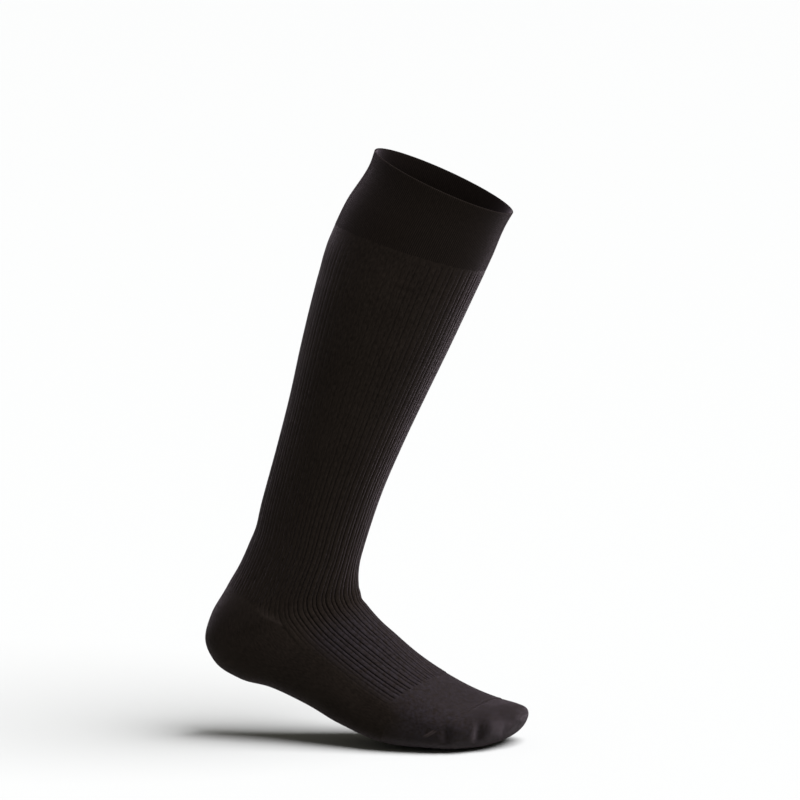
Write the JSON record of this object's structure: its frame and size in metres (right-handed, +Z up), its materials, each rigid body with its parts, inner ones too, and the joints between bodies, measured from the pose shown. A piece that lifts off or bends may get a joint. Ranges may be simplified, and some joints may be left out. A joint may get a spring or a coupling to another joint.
{
  "type": "compression stocking",
  "caption": "Knee-high compression stocking in the bent shape it takes on a stepping leg: ribbed leg and instep, plain cuff, heel pocket and toe cap, hollow and open at the top.",
  "frame": {"origin": "middle of the cuff opening, where the wearer's leg holds the stocking up", "axes": "+Z up, the way the cuff is reached from the foot; +X towards the toes; +Y to the inner side, where the big toe is"},
  "size_m": [0.247, 0.107, 0.4526],
  "materials": {
    "cuff_band": "matt black fine-rib knitted nylon and elastane, double band",
    "leg_tube": "matt black knitted nylon and elastane with wide and narrow upright ribs",
    "heel_pocket": "matt black plain knit, denser and smoother than the leg",
    "foot_tube": "matt black knitted nylon and elastane, ribbed over the instep and plain under the sole",
    "toe_cap": "matt black plain knit, fine and close"
  },
  "bodies": {
    "root": {"cuff_band": "cuff_band", "leg_tube": "leg_tube", "heel_pocket": "heel_pocket", "foot_tube": "foot_tube", "toe_cap": "toe_cap"}
  },
  "joints": []
}
